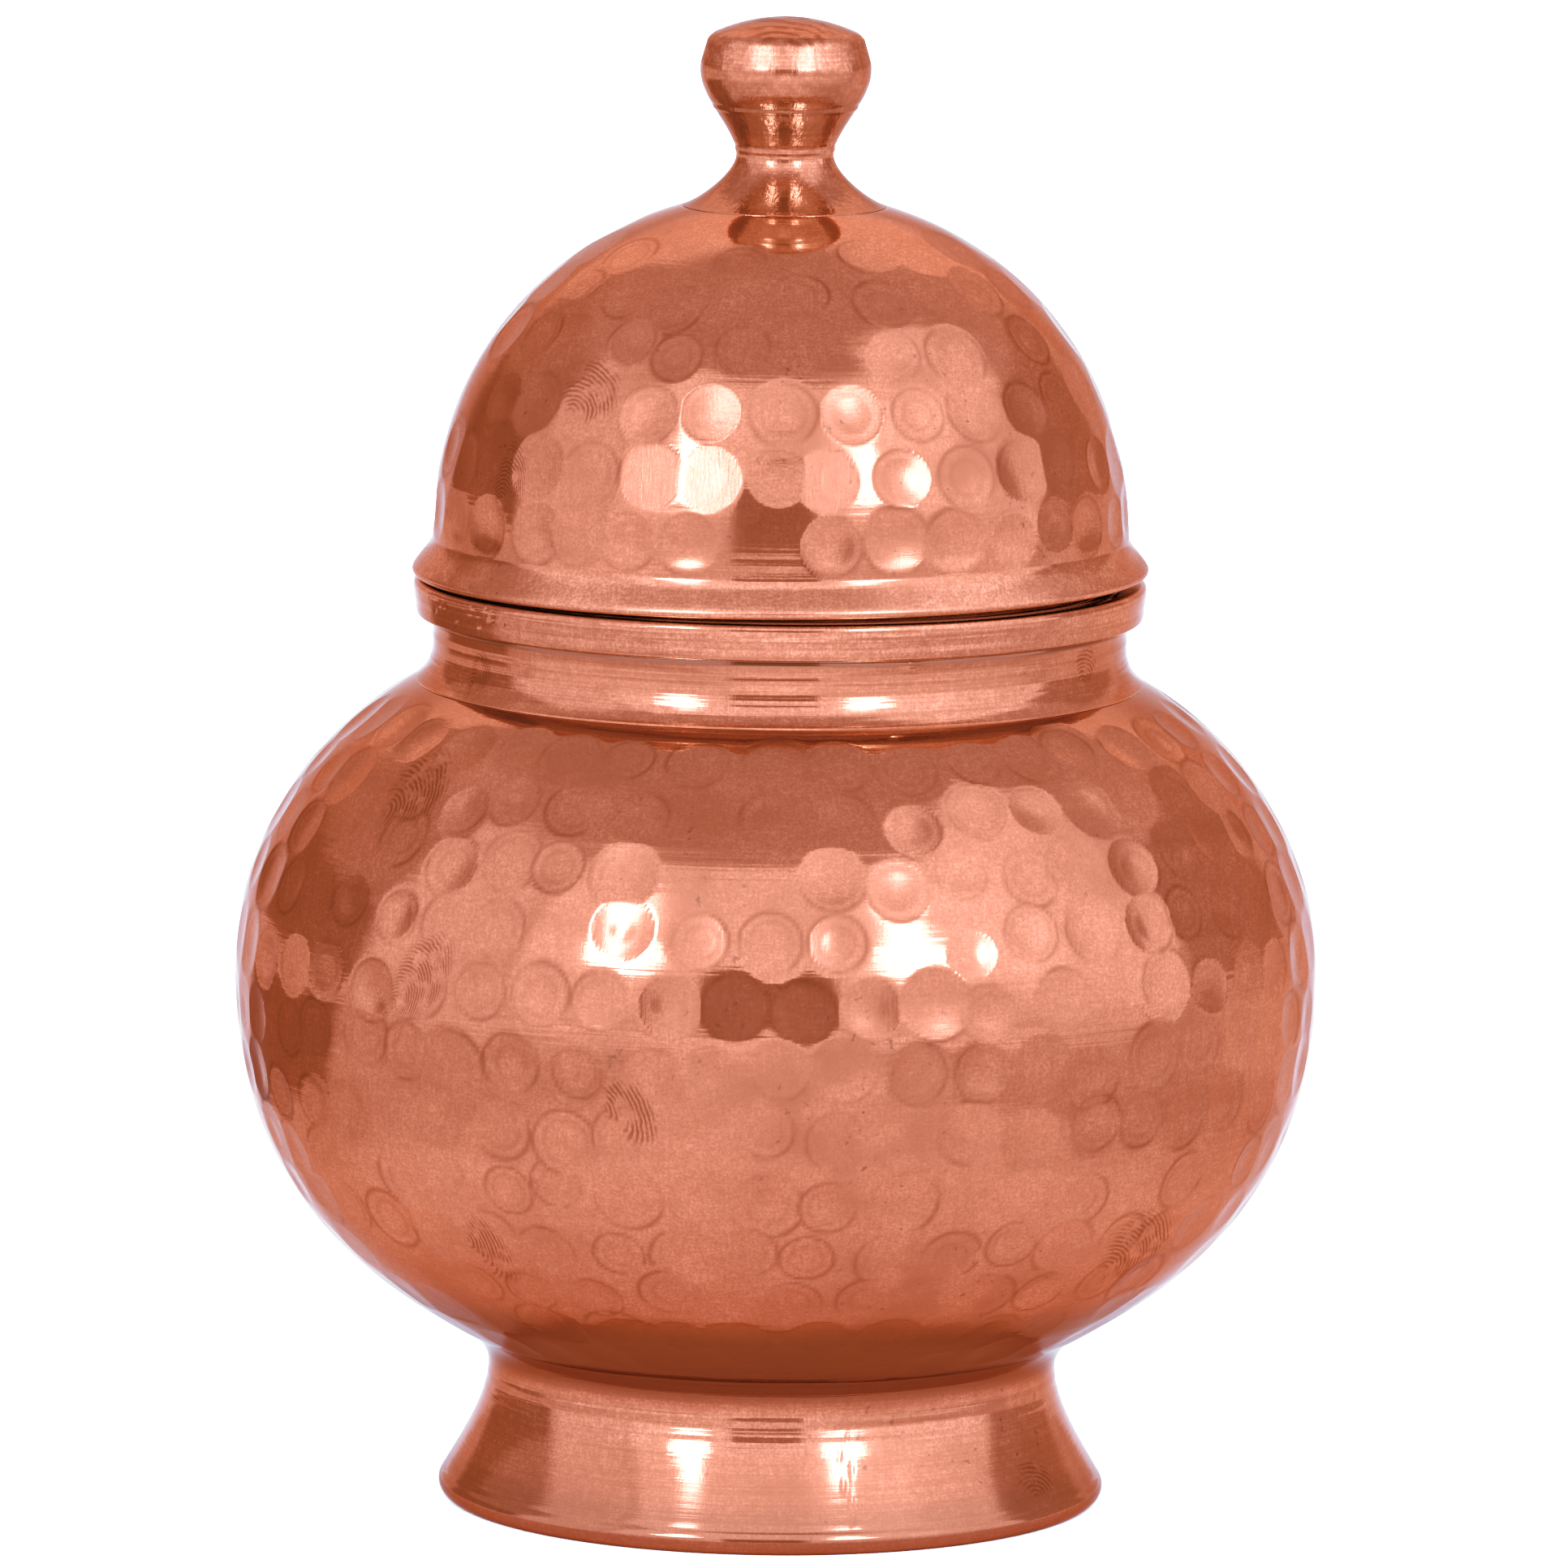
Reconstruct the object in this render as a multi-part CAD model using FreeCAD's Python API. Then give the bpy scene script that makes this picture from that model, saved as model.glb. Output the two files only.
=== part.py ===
import FreeCAD, Part
import os
from math import atan2, cos, hypot, pi, sin
from FreeCAD import Vector

# A hammered copper water jug with a lift-off domed lid, in millimetres.
# +Z is up and is the axis that every piece is turned about. The origin is on that axis, at the
# level of the face that the foot rests on. An outline is drawn as (radius, height) pairs.

# Overall driving dimensions
belly_radius = 75.0
belly_widest_z = 74.0
neck_radius = 47.95
mouth_z = 128.5
lid_gap = 0.35
dome_radius = 48.1
dome_foot_z = 134.3
dome_crown_z = 180.05
knob_top_z = 206.2

# Sheet thicknesses
body_sheet = 1.2
foot_sheet = 1.1
dome_sheet = 1.1
collar_sheet = 0.9

# Belly: where its lower quarter meets the foot, and its upper quarter the neck
foot_joint = (41.5, 22.87)
neck_joint = (50.6, 114.03)
lower_belly = (
    foot_joint,
    (55.77, 30.68),
    (belly_radius, belly_widest_z - 31.3),
    (belly_radius, belly_widest_z),
)
upper_belly = (
    (belly_radius, belly_widest_z),
    (belly_radius, belly_widest_z + 21.65),
    (59.2, 109.77),
    neck_joint,
)
floor_radius = 12.0
floor_z = 13.5
belly_floor = ((floor_radius, floor_z), (24.0, floor_z), (33.0, 18.22), foot_joint)
shoulder_slope = (neck_joint[1] - 109.77) / (59.2 - neck_joint[0])
opening_radius = neck_radius - body_sheet

# Foot: a flared ring whose bottom edge is rolled round a wire
foot_waist = (39.43, 18.4)
foot_flange_radius = 42.4
roll_radius = 1.9
roll_centre = (44.34, 1.8)
roll_end_turn = 245.0
flare_lean = 31.0
rim_wire_radius = roll_radius - foot_sheet - 0.03
foot_solder_width = 3.0
foot_solder_depth = 2.5

# Neck collar and mouth ring
collar_flange = (50.25, 114.5)
collar_waist_z = 119.5
collar_top_z = mouth_z - 0.3
ring_foot_z = 122.2
ring_radius = 50.65

# Lid: lip, dome and the collar that drops into the mouth
lip_z = mouth_z + lid_gap
lip_radius = 50.87
lip_bead = 0.72
dome = (
    (dome_radius, dome_foot_z),
    (dome_radius - 0.15, dome_foot_z + 25.4),
    (31.41, 175.13),
    (14.2, dome_crown_z),
)
lid_collar_radius = opening_radius - 0.85
lid_collar_bottom_z = mouth_z - 10.0
lid_collar_top_z = lip_z + 6.5
joggle_z = (lip_z + 0.4, lip_z + 1.8)
lid_solder_width = 1.4
lid_fit_gap = 0.05

# Knob and its fixing
knob_base_radius = 14.0
knob_waist = (6.75, 187.2)
knob_shoulder = (11.8, 198.6)
knob_edge = (10.85, 203.0)
screw_radius = 2.5
screw_length = 11.0
screw_head_radius = 4.6
screw_head_height = 2.8
screw_slot_width = 1.2
screw_slot_depth = 1.3
thread_gap = 0.05
washer_radius = 7.5
washer_sheet = 1.0


def turned(start, *runs):
    """A solid turned about the axis from a closed outline that begins at start.

    A run is the points that follow the last one: one for a line, two for an arc that goes
    through the first, three for a cubic curve. A line closes the outline.
    """
    edges = []
    here = start
    closing = () if runs[-1][-1] == start else ((start,),)
    for run in runs + closing:
        points = [Vector(r, 0, z) for r, z in (here,) + tuple(run)]
        if len(points) == 2:
            edges.append(Part.LineSegment(*points).toShape())
        elif len(points) == 3:
            edges.append(Part.Arc(*points).toShape())
        else:
            curve = Part.BezierCurve()
            curve.setPoles(points)
            edges.append(curve.toShape())
        here = run[-1]
    return Part.Face(Part.Wire(edges)).revolve(Vector(0, 0, 0), Vector(0, 0, 1), 360)


def beside(poles, gap):
    """Control points of the curve that runs at a distance of gap to the left of poles' curve."""
    normals = []
    for (r0, z0), (r1, z1) in zip(poles, poles[1:]):
        length = hypot(r1 - r0, z1 - z0)
        normals.append((-(z1 - z0) / length, (r1 - r0) / length))
    moved = []
    for i, (r, z) in enumerate(poles):
        before = normals[max(i - 1, 0)]
        after = normals[min(i, len(normals) - 1)]
        reach = gap / (1 + before[0] * after[0] + before[1] * after[1])
        moved.append((r + reach * (before[0] + after[0]), z + reach * (before[1] + after[1])))
    return tuple(moved)


def backwards(poles):
    return tuple(reversed(poles))


def polar(centre, radius, degrees):
    """The outline point at that angle round centre, counted from straight outwards."""
    turn = degrees * pi / 180
    return (centre[0] + radius * cos(turn), centre[1] + radius * sin(turn))


def on_shoulder(r):
    """Height of the belly's outer face at radius r, inside its joint with the neck."""
    return neck_joint[1] + (neck_joint[0] - r) * shoulder_slope


def belly_envelope():
    """The belly as one full solid, to cut the seats of the pieces that sit against it."""
    top = (opening_radius - body_sheet, on_shoulder(opening_radius - body_sheet))
    return turned(
        (0, floor_z),
        (belly_floor[0],),
        belly_floor[1:],
        lower_belly[1:],
        upper_belly[1:],
        (top,),
        ((0, top[1]),),
    )


def belly_shell():
    """The hammered globe: one sheet, closed below and open at the shoulder."""
    inner_floor = beside(belly_floor, body_sheet)
    inner_lower = beside(lower_belly, body_sheet)
    inner_upper = beside(upper_belly, body_sheet)
    rise = (inner_upper[3][0] - opening_radius) * shoulder_slope
    return turned(
        (0, floor_z),
        (belly_floor[0],),
        belly_floor[1:],
        lower_belly[1:],
        upper_belly[1:],
        ((opening_radius, on_shoulder(opening_radius)),),
        ((opening_radius, inner_upper[3][1] + rise),),
        (inner_upper[3],),
        backwards(inner_upper)[1:],
        backwards(inner_lower)[1:],
        backwards(inner_floor)[1:],
        ((0, floor_z + body_sheet),),
    )


def neck_collar():
    """The smooth neck, which stands on the shoulder by a short flange."""
    flange = (
        collar_flange,
        (49.0, 115.5),
        (neck_radius, 117.0),
        (neck_radius, collar_waist_z),
    )
    edge_round = body_sheet / 2
    solid = turned(
        (collar_flange[0], on_shoulder(collar_flange[0]) - 1),
        (collar_flange,),
        flange[1:],
        ((neck_radius, collar_top_z),),
        ((opening_radius + edge_round, collar_top_z),),
        (
            polar((opening_radius + edge_round, collar_top_z - edge_round), edge_round, 135),
            (opening_radius, collar_top_z - edge_round),
        ),
        ((opening_radius, on_shoulder(opening_radius) - 1),),
    )
    return solid.cut(belly_envelope())


def mouth_ring():
    """The band round the mouth: bevelled below, with a rounded top edge."""
    return turned(
        (neck_radius, ring_foot_z),
        ((49.7, 123.9),),
        ((50.08, 124.33), (50.27, 124.9)),
        ((ring_radius, 127.5),),
        (polar((ring_radius - 0.9, 127.6), 0.9, 45), (ring_radius - 0.9, mouth_z)),
        ((neck_radius, mouth_z),),
    )


def foot_ring():
    """The flared foot: a waist, a flange that meets the belly, and a rolled bottom edge."""
    flare_foot = polar(roll_centre, roll_radius, flare_lean)
    lean = (sin(flare_lean * pi / 180), cos(flare_lean * pi / 180))
    flare = (
        flare_foot,
        (flare_foot[0] - 5.05 * lean[0], flare_foot[1] + 5.05 * lean[1]),
        (foot_waist[0], foot_waist[1] - 5.1),
        foot_waist,
    )
    inner_flare = beside(flare, foot_sheet)
    throat = (
        foot_waist,
        (foot_waist[0], foot_waist[1] + 2.2),
        (40.9, 22.3),
        (foot_flange_radius, 23.05),
    )
    belly_cover_z = foot_joint[1] + 2
    wire_hollow = roll_radius - foot_sheet
    curl_end = flare_lean - roll_end_turn
    curl_middle = flare_lean - roll_end_turn / 2
    solid = turned(
        flare_foot,
        flare[1:],
        throat[1:],
        ((foot_flange_radius, belly_cover_z),),
        ((foot_waist[0] - foot_sheet, belly_cover_z),),
        (inner_flare[3],),
        backwards(inner_flare)[1:],
        (
            polar(roll_centre, wire_hollow, curl_middle),
            polar(roll_centre, wire_hollow, curl_end),
        ),
        (polar(roll_centre, roll_radius, curl_end),),
        (polar(roll_centre, roll_radius, curl_middle), flare_foot),
    )
    below = Part.makeCylinder(foot_flange_radius + 10, 10, Vector(0, 0, -10))
    return solid.cut(belly_envelope()).cut(below)


def foot_rim_wire():
    """The stiffening wire inside the foot's rolled edge."""
    centre = Vector(roll_centre[0], 0, roll_centre[1])
    circle = Part.Circle(centre, Vector(0, 1, 0), rim_wire_radius).toShape()
    section = Part.Face(Part.Wire([circle]))
    return section.revolve(Vector(0, 0, 0), Vector(0, 0, 1), 360)


def foot_solder():
    """The fillet of solder in the corner between the foot's wall and the belly's underside."""
    wall = foot_waist[0] - foot_sheet
    inner = wall - foot_solder_width
    corner_z = foot_joint[1] - (foot_joint[0] - wall) * 0.5473
    inner_z = corner_z - foot_solder_width * 0.5473
    solid = turned(
        (wall, corner_z - foot_solder_depth),
        ((wall, foot_joint[1]),),
        ((inner, foot_joint[1]),),
        ((inner, inner_z - 0.3),),
        ((wall - 1.1, corner_z - 1.55), (wall, corner_z - foot_solder_depth)),
    )
    return solid.cut(belly_envelope())


def lid_dome():
    """The hammered dome with the smooth lip turned out of the same sheet."""
    bead_centre = (lip_radius - lip_bead, lip_z + lip_bead)
    cove_top = polar(bead_centre, lip_bead, 75)
    wall = dome_radius - dome_sheet
    inner_dome = beside(dome, dome_sheet)
    hole = screw_radius + 2 * thread_gap
    return turned(
        (wall, lip_z),
        ((bead_centre[0], lip_z),),
        (polar(bead_centre, lip_bead, -10), cove_top),
        ((49.07, 131.65), (dome_radius + 0.02, dome_foot_z - 1.7), (dome_radius, dome_foot_z)),
        dome[1:],
        ((hole, dome_crown_z),),
        ((hole, dome_crown_z - dome_sheet),),
        (inner_dome[3],),
        backwards(inner_dome)[1:],
    )


def lid_collar():
    """The collar inside the lid, stepped inwards below the lip so that it enters the mouth."""
    outer = dome_radius - dome_sheet - lid_fit_gap
    step = outer - lid_collar_radius
    return turned(
        (outer - collar_sheet, lid_collar_top_z),
        ((outer, lid_collar_top_z),),
        ((outer, joggle_z[1]),),
        ((outer - step, joggle_z[0]),),
        ((lid_collar_radius, lid_collar_bottom_z),),
        ((lid_collar_radius - collar_sheet, lid_collar_bottom_z),),
        ((lid_collar_radius - collar_sheet, joggle_z[0] + 0.4),),
        ((outer - collar_sheet, joggle_z[1] + 0.4),),
    )


def lid_solder():
    """The line of solder along the collar's top edge, inside the dome."""
    outer = dome_radius - dome_sheet - 3 * lid_fit_gap
    inner = outer - 0.9 * collar_sheet
    return turned(
        (inner, lid_collar_top_z),
        ((outer, lid_collar_top_z),),
        ((outer, lid_collar_top_z + lid_solder_width),),
        ((outer - 0.35, lid_collar_top_z + 0.5), (inner, lid_collar_top_z)),
    )


def knob():
    """The turned knob: a spreading foot, a waist and a bevelled, crowned button."""
    base_z = dome_crown_z
    foot_edge = (knob_base_radius, base_z + 0.57)
    drill_radius = screw_radius + thread_gap
    drill_z = dome_crown_z - dome_sheet - washer_sheet + screw_length + 1.0
    crown_edge = (9.7, 204.1)
    return turned(
        (drill_radius, base_z),
        ((knob_base_radius, base_z),),
        (foot_edge,),
        (
            (foot_edge[0] - 2.5, foot_edge[1] + 0.25),
            (knob_waist[0], knob_waist[1] - 2.56),
            knob_waist,
        ),
        (
            (knob_waist[0], knob_waist[1] + 3.2),
            (knob_shoulder[0] - 0.12, knob_shoulder[1] - 3.93),
            knob_shoulder,
        ),
        ((knob_shoulder[0] + 0.05, knob_shoulder[1] + 1.6), (11.4, 201.7), knob_edge),
        ((10.4, 203.62), crown_edge),
        ((6.5, 205.5), (3.2, knob_top_z), (0, knob_top_z)),
        ((0, drill_z + drill_radius * 0.6),),
        ((drill_radius, drill_z),),
    )


def knob_washer():
    """The washer under the dome's crown, which spreads the screw's pull."""
    under_crown = dome_crown_z - dome_sheet
    hole = screw_radius + 2 * thread_gap
    return turned(
        (hole, under_crown - washer_sheet),
        ((washer_radius, under_crown - washer_sheet),),
        ((washer_radius, under_crown),),
        ((hole, under_crown),),
    )


def knob_screw():
    """The pan-head screw that goes up through the crown into the knob."""
    seat_z = dome_crown_z - dome_sheet - washer_sheet
    head_z = seat_z - screw_head_height
    solid = turned(
        (0, head_z),
        (
            (screw_head_radius * 0.6, head_z),
            (screw_head_radius, head_z + 0.5),
            (screw_head_radius, seat_z - 1.1),
        ),
        ((screw_head_radius, seat_z),),
        ((screw_radius, seat_z),),
        ((screw_radius, seat_z + screw_length - 0.6),),
        ((screw_radius - 0.6, seat_z + screw_length),),
        ((0, seat_z + screw_length),),
    )
    slot = Part.makeBox(
        4 * screw_head_radius,
        screw_slot_width,
        2 * screw_slot_depth,
        Vector(-2 * screw_head_radius, -screw_slot_width / 2, head_z - screw_slot_depth),
    )
    return solid.cut(slot)


pieces = (
    belly_shell,
    neck_collar,
    mouth_ring,
    foot_ring,
    foot_rim_wire,
    foot_solder,
    lid_dome,
    lid_collar,
    lid_solder,
    knob,
    knob_washer,
    knob_screw,
)

os.makedirs("parts", exist_ok=True)
for piece in pieces:
    shape = piece()
    if len(shape.Solids) != 1 or not shape.isValid():
        raise ValueError(piece.__name__ + " is not one valid solid")
    shape.Solids[0].exportStep("parts/" + piece.__name__ + ".step")
    print(piece.__name__, round(shape.Volume / 1000, 3), "cm3")
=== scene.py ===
import math

import bpy
import numpy as np
from mathutils import Euler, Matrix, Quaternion, Vector


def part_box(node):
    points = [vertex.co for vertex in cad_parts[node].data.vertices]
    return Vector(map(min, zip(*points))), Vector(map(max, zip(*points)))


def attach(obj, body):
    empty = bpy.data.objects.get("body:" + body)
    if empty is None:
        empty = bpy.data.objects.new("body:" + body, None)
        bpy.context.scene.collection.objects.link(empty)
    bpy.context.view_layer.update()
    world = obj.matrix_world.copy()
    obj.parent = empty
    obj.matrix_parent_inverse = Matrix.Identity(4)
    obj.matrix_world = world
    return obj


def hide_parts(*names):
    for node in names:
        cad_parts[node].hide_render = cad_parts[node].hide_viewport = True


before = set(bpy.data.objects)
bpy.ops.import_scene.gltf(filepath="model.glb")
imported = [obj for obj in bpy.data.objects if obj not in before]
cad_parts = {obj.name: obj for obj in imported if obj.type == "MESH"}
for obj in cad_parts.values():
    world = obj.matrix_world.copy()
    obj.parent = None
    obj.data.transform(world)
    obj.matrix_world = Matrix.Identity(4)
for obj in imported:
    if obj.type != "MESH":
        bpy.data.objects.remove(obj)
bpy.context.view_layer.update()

MM = 0.001
MICROMETRE = 1e-6
random = np.random.default_rng(20)

# ---------------------------------------------------------------------------------------------
# Camera: about two metres away, looking a little down and leaning by a little over half a degree
# ---------------------------------------------------------------------------------------------

CAMERA_DISTANCE = 1.9
CAMERA_HEIGHT = 0.374
CAMERA_PITCH = math.radians(8.215)
CAMERA_ROLL = 0.0112
CAMERA_ASIDE = 0.00083
CAMERA_LENS = 318.4


def make_camera():
    data = bpy.data.cameras.new("camera")
    data.sensor_width = 36
    data.lens = CAMERA_LENS
    data.clip_end = 60
    camera = bpy.data.objects.new("camera", data)
    bpy.context.scene.collection.objects.link(camera)
    camera.location = (CAMERA_ASIDE, -CAMERA_DISTANCE, CAMERA_HEIGHT)
    camera.rotation_mode = "QUATERNION"
    look = Euler((math.pi / 2 - CAMERA_PITCH, 0, 0)).to_quaternion()
    camera.rotation_quaternion = look @ Quaternion((0, 0, 1), CAMERA_ROLL)
    bpy.context.scene.camera = camera


# ---------------------------------------------------------------------------------------------
# Outlines: (radius, height) in millimetres, sampled along their length
# ---------------------------------------------------------------------------------------------


def line(start, end, step=0.5):
    count = max(1, round(math.dist(start, end) / step))
    t = np.linspace(0, 1, count + 1)[:, None]
    return np.array(start) * (1 - t) + np.array(end) * t


def curve(poles, step=0.5):
    """A cubic curve, sampled evenly along its length."""
    p = np.array(poles, float)
    t = np.linspace(0, 1, 400)[:, None]
    fine = p[0] * (1 - t) ** 3 + 3 * p[1] * t * (1 - t) ** 2 + 3 * p[2] * t**2 * (1 - t) + p[3] * t**3
    along = np.r_[0, np.cumsum(np.hypot(*np.diff(fine, axis=0).T))]
    even = np.linspace(0, along[-1], max(2, round(along[-1] / step)) + 1)
    return np.column_stack([np.interp(even, along, fine[:, i]) for i in (0, 1)])


def arc(centre, radius, start, end, step=0.2):
    """Part of a circle between two angles in degrees, counted from straight outwards."""
    count = max(2, round(abs(math.radians(end - start)) * radius / step))
    turn = np.radians(np.linspace(start, end, count + 1))
    return np.column_stack([centre[0] + radius * np.cos(turn), centre[1] + radius * np.sin(turn)])


def joined(*runs):
    """One outline from runs that follow each other, with repeated points left out."""
    points = np.vstack(runs)
    keep = np.r_[True, np.hypot(*np.diff(points, axis=0).T) > 1e-4]
    return points[keep]


def beside(poles, gap):
    """Control points of the curve that runs at a distance of gap to the left of poles' curve."""
    p = np.array(poles, float)
    legs = np.diff(p, axis=0)
    legs /= np.hypot(*legs.T)[:, None]
    normals = np.column_stack([-legs[:, 1], legs[:, 0]])
    before = normals[[0, 0, 1, 2]]
    after = normals[[0, 1, 2, 2]]
    reach = gap / (1 + (before * after).sum(axis=1))
    return p + reach[:, None] * (before + after)


# ---------------------------------------------------------------------------------------------
# Spinning an outline into a mesh
# ---------------------------------------------------------------------------------------------


def outward_normals(outline, closed):
    """Unit normals of the outline, to the right of its direction of travel."""
    if closed:
        along = np.roll(outline, -1, axis=0) - np.roll(outline, 1, axis=0)
    else:
        along = np.gradient(outline, axis=0)
    along /= np.hypot(*along.T)[:, None]
    return np.column_stack([along[:, 1], -along[:, 0]])


def spin(name, outline, segments, relief=None, warp=None, closed=True, traces=None, sharp=35):
    """A mesh turned from an outline, which comes back to its start if it is closed and otherwise
    meets the axis at both ends. relief moves the points along their normals, in millimetres,
    warp changes the finished points, traces are levels for the material to read, and edges
    that turn by more than sharp degrees stay sharp."""
    turn = np.linspace(0, 2 * math.pi, segments, endpoint=False)
    normals = outward_normals(outline, closed)
    height = np.broadcast_to(0.0 if relief is None else relief, (len(outline), segments))
    radius = outline[:, :1] + height * normals[:, :1]
    z = outline[:, 1:] + height * normals[:, 1:]
    points = np.stack([radius * np.sin(turn), -radius * np.cos(turn), z], axis=-1)
    rows = len(outline)
    first, last = (0, rows) if closed else (1, rows - 1)
    body = points[first:last].reshape(-1, 3)
    index = np.arange((last - first) * segments).reshape(last - first, segments)
    lower = index if closed else index[:-1]
    upper = np.roll(index, -1, axis=0) if closed else index[1:]
    beside_lower = np.roll(lower, -1, axis=1)
    beside_upper = np.roll(upper, -1, axis=1)
    quads = np.stack([lower, beside_lower, beside_upper, upper], axis=-1).reshape(-1, 4)
    faces = quads.tolist()
    vertices = body
    if not closed:
        poles = np.array([[0, 0, outline[0, 1]], [0, 0, outline[-1, 1]]])
        vertices = np.vstack([body, poles])
        start_pole, end_pole = len(body), len(body) + 1
        ring, next_ring = index[0], np.roll(index[0], -1)
        faces += np.column_stack([np.full(segments, start_pole), next_ring, ring]).tolist()
        ring, next_ring = index[-1], np.roll(index[-1], -1)
        faces += np.column_stack([np.full(segments, end_pole), ring, next_ring]).tolist()
    if warp is not None:
        vertices = warp(vertices)
    mesh = bpy.data.meshes.new(name)
    mesh.from_pydata((vertices * MM).tolist(), [], faces)
    mesh.update()
    mesh.shade_smooth()
    mesh.set_sharp_from_angle(angle=math.radians(sharp))
    for trace, levels in (traces or {}).items():
        values = np.zeros(len(vertices), np.float32)
        values[: len(body)] = levels[first:last].reshape(-1)
        mesh.attributes.new(trace, "FLOAT", "POINT").data.foreach_set("value", values)
    piece = bpy.data.objects.new(name, mesh)
    bpy.context.scene.collection.objects.link(piece)
    return piece


# ---------------------------------------------------------------------------------------------
# Hammer marks
# ---------------------------------------------------------------------------------------------

MARK_RADIUS = 4.4
MARK_PITCH = 9.25
ROW_PITCH = 9.0
MISSED = 0.06  # share of the blows that are left out
BLEND = 0.012  # width over which one mark runs into the next


def bends(outline):
    """Curvature of the turned surface at each point of its outline: the mean of both ways."""
    along = np.r_[0, np.cumsum(np.hypot(*np.diff(outline, axis=0).T))]
    normals = outward_normals(outline, closed=False)
    lean = np.unwrap(np.arctan2(normals[:, 1], normals[:, 0]))
    lengthwise = np.abs(np.gradient(lean, along))
    round_about = normals[:, 0] / np.maximum(outline[:, 0], 1)
    return along, (lengthwise + round_about) / 2


def strike(relief, struck, rims, along, radii, turn, place, angle, size, depth, tilt, dish):
    """One blow: a shallow round flat, with a ringed dish inside it, cut into the relief."""
    rows = np.flatnonzero(np.abs(along - place) < 1.25 * size)
    if not len(rows):
        return
    radius = np.interp(place, along, radii)
    swing = (turn - angle + math.pi) % (2 * math.pi) - math.pi
    columns = np.flatnonzero(np.abs(swing) * radius < 1.25 * size)
    up = (along[rows] - place)[:, None]
    across = (swing[columns] * radii[rows][:, None])
    away = np.hypot(up, across) / size
    floor = depth * (away**2 - 1) + tilt[0] * up + tilt[1] * across
    inner = np.clip(1 - (away / dish[0]) ** 2, 0, 1)
    floor -= dish[1] * inner**1.5
    floor += dish[2] * np.exp(-(((away - dish[0]) / 0.1) ** 2))
    window = np.ix_(rows, columns)
    before = relief[window]
    lower = before > floor
    struck[window] = np.maximum(struck[window], np.clip((before - floor) * 25, 0, 1))
    # Levels at each mark's rim and inner ring, where the material paints shade
    ring = np.exp(-(((away - 0.97) / 0.09) ** 2)) + 0.5 * np.exp(-(((away - dish[0]) / 0.09) ** 2))
    rims[window] = np.where(lower, ring, np.maximum(rims[window], ring * (away > 0.9)))
    relief[window] = np.minimum(before, floor) - BLEND * np.log1p(np.exp(-np.abs(before - floor) / BLEND))


def hammer(outline, segments, anchor_z, rows, phases, fade, smooth=(), chosen=()):
    """Rings of blows round a turned sheet, counted from the ring at anchor_z.

    phases gives the angle of one blow in a ring, in degrees, where that matters; fade says how
    deep the blows are at each height; smooth lists (degrees, height, reach) left untouched;
    chosen lists single blows: (degrees, height, size, hollowness, sideways lean, inner ring, its
    depth, its ridge). A hollowness of 1 leaves the mark flat. The result is the relief, how far
    each place was struck, and where the rims of the marks are.
    """
    along, bend = bends(outline)
    turn = np.linspace(0, 2 * math.pi, segments, endpoint=False)
    relief = np.zeros((len(outline), segments))
    struck = np.zeros_like(relief)
    rims = np.zeros_like(relief)
    radii = outline[:, 0]
    kept_clear = list(smooth) + [(blow[0], blow[1], blow[2] + 1.5) for blow in chosen]

    def land(place, angle, size, hollow, tilt, dish):
        depth = hollow * size**2 * np.interp(place, along, bend) / 2
        strike(relief, struck, rims, along, radii, turn, place, angle, size, depth, tilt, dish)

    anchor = np.interp(anchor_z, outline[:, 1], along)
    order = list(rows)
    random.shuffle(order)
    for ring in order:
        middle = anchor + ring * ROW_PITCH
        radius = np.interp(middle, along, radii)
        count = max(6, round(2 * math.pi * radius / MARK_PITCH))
        start = math.radians(phases[ring]) if ring in phases else random.uniform(0, 6.28)
        for k in range(count):
            steady = 0.35 if ring in phases and min(k, count - k) < 5 else 0.8
            angle = start + 2 * math.pi * k / count + random.normal(0, steady) / radius
            place = middle + random.normal(0, steady)
            size = MARK_RADIUS * random.uniform(0.84, 1.14)
            z = np.interp(place, along, outline[:, 1])
            hollow = random.uniform(0.9, 2.2) * fade(z)
            tilt = random.normal(0, 0.012, 2)
            dish_depth = random.choice([0.004, 0.02, 0.045, 0.07]) * fade(z)
            ridge = random.choice([0, 0.008, 0.016]) * fade(z)
            dish = (random.uniform(0.5, 0.75), dish_depth, ridge)
            degrees = math.degrees((angle + math.pi) % (2 * math.pi) - math.pi)
            clear = all(
                math.hypot(math.radians(degrees - a) * radius, z - h) > reach for a, h, reach in kept_clear
            )
            if clear and random.uniform() > MISSED:
                land(place, angle, size, hollow, tilt, dish)
    for degrees, z, size, hollow, lean, *dish in chosen:
        land(np.interp(z, outline[:, 1], along), math.radians(degrees), size, hollow, (0, lean), dish)
    return relief, struck, rims


def placed(levels, start, rows):
    """Levels of the struck stretch, with zeros before and after it along the whole outline."""
    return np.pad(levels, ((start, rows - start - len(levels)), (0, 0)))


def unevenness(outline, segments, size, waves=9):
    """A gentle unevenness left by the shaping, from a few low waves round and up the sheet."""
    turn = np.linspace(0, 2 * math.pi, segments, endpoint=False)
    along = np.r_[0, np.cumsum(np.hypot(*np.diff(outline, axis=0).T))]
    total = np.zeros((len(outline), segments))
    for _ in range(waves):
        round_about = random.integers(1, 9)
        lengthwise = random.uniform(0.03, 0.16)
        start = random.uniform(0, 6.28, 2)
        total += np.sin(round_about * turn + start[0]) * np.sin(lengthwise * along + start[1])[:, None]
    return size * total / math.sqrt(waves)


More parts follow.
